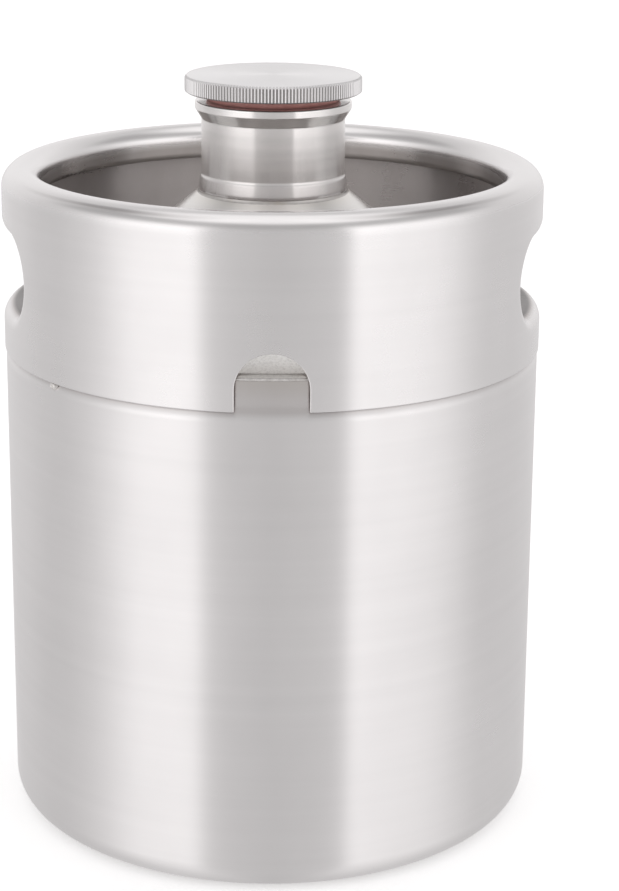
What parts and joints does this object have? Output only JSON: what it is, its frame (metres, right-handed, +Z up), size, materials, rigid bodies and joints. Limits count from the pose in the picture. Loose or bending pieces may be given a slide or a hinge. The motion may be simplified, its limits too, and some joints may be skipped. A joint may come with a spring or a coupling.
{
  "type": "mini keg",
  "caption": "Stainless steel keg for carbonated drinks, with a rolled-rim carrying collar and a knurled screw cap on a gasket.",
  "frame": {"origin": "centre of the standing ring, on the plane the keg stands on", "axes": "+Z up along the keg's axis, X through the two hand-holds, -Y towards the drain notch at the front"},
  "size_m": [0.135, 0.135, 0.1875],
  "materials": {
    "steel_body": "satin, brushed round the axis",
    "steel_dome": "dull satin, as pressed",
    "steel_collar": "satin, brushed round the axis",
    "steel_neck": "fine turned",
    "steel_cap": "bright turned",
    "weld": "as welded, lightly dressed",
    "gasket_silicone": "matt silicone"
  },
  "bodies": {
    "keg": {"vessel_shell": "steel_body", "vessel_dome": "steel_dome", "girth_weld": "weld", "neck": "steel_neck", "neck_weld": "weld", "collar": "steel_collar", "collar_tack_welds": "weld"},
    "gasket": {"cap_gasket": "gasket_silicone"},
    "cap": {"cap": "steel_cap"}
  },
  "joints": [
    {"name": "cap_lift", "type": "slide", "parent": "keg", "child": "gasket", "axis": [0, 0, 1], "range_m": [0, 0.012]},
    {"name": "cap_turn", "type": "hinge", "parent": "gasket", "child": "cap", "pos_m": [0, 0, 0.1855], "axis": [0, 0, 1], "range_deg": [0, 2160]}
  ],
  "couplings": [
    {"joint": "cap_turn", "follows": "cap_lift", "rad_per_m": 3141.6}
  ]
}
